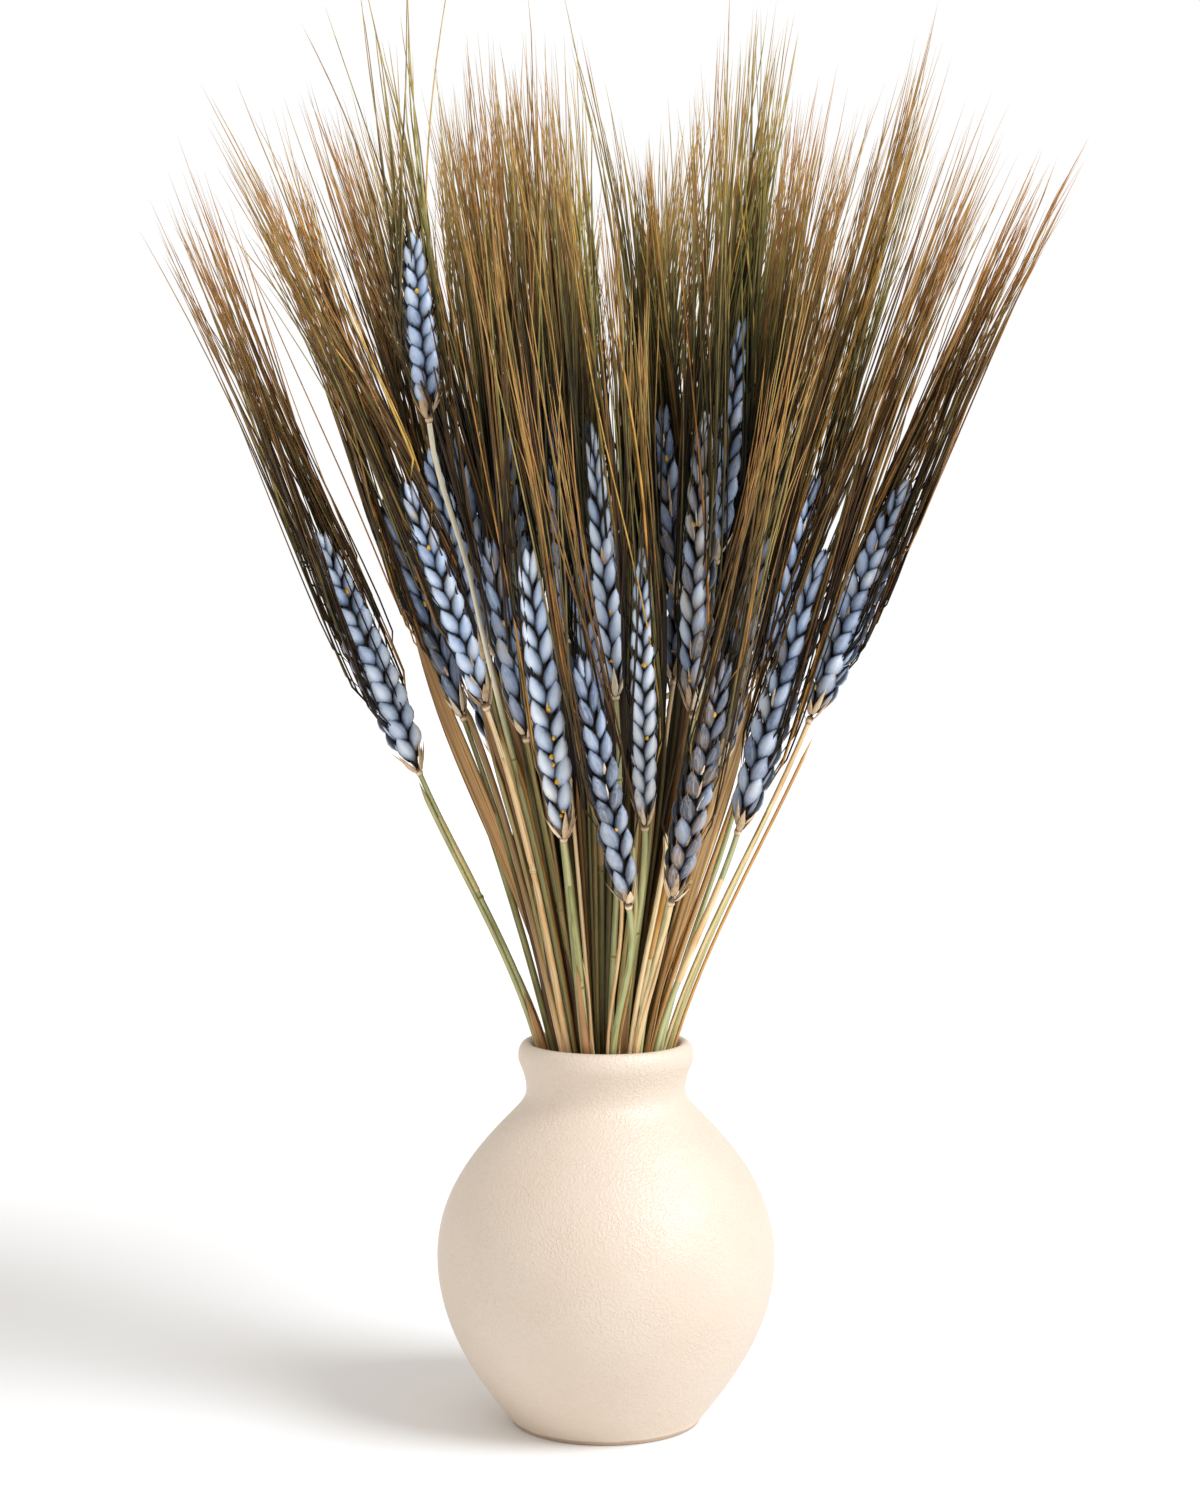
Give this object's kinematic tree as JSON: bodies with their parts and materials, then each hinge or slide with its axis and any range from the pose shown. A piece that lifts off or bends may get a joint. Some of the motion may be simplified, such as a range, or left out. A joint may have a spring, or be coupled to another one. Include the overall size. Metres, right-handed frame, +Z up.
{
  "type": "vase of dried wheat",
  "caption": "Cream ceramic vase with a rolled lip, filled with bearded wheat: slate-blue ears with long fine awns on dry stems.",
  "frame": {"origin": "middle of the vase's foot, on the surface that it stands on", "axes": "+Z up along the vase's axis, -Y towards the viewer of the picture, +X to that viewer's right"},
  "size_m": [0.3091, 0.2703, 0.4663],
  "materials": {
    "ceramic": "matte cream glaze with a very fine dimpled relief",
    "florets": "dry husks, lavender-blue to slate",
    "straw": "dry stems, sage green to straw"
  },
  "bodies": {
    "root": {"vase": "ceramic", "stems_01": "straw", "stems_02": "straw", "stems_03": "straw", "stems_04": "straw", "stems_05": "straw", "stems_06": "straw", "stems_07": "straw", "stems_08": "straw", "stems_09": "straw", "stems_10": "straw", "stems_11": "straw", "stems_12": "straw", "stems_13": "straw", "stems_14": "straw", "stems_15": "straw", "stems_16": "straw", "stems_17": "straw", "stems_18": "straw", "ear_01": "florets", "ear_02": "florets", "ear_03": "florets", "ear_04": "florets", "ear_05": "florets", "ear_06": "florets", "ear_07": "florets", "ear_08": "florets", "ear_09": "florets", "ear_10": "florets", "ear_11": "florets", "ear_12": "florets", "ear_13": "florets", "ear_14": "florets", "ear_15": "florets", "ear_16": "florets", "ear_17": "florets", "ear_18": "florets", "ear_19": "florets", "ear_20": "florets", "ear_21": "florets", "ear_22": "florets", "ear_23": "florets", "ear_24": "florets", "ear_25": "florets", "ear_26": "florets", "ear_27": "florets", "ear_28": "florets", "ear_29": "florets", "ear_30": "florets", "ear_31": "florets", "ear_32": "florets", "ear_33": "florets", "ear_34": "florets", "ear_35": "florets", "ear_36": "florets"}
  },
  "joints": []
}
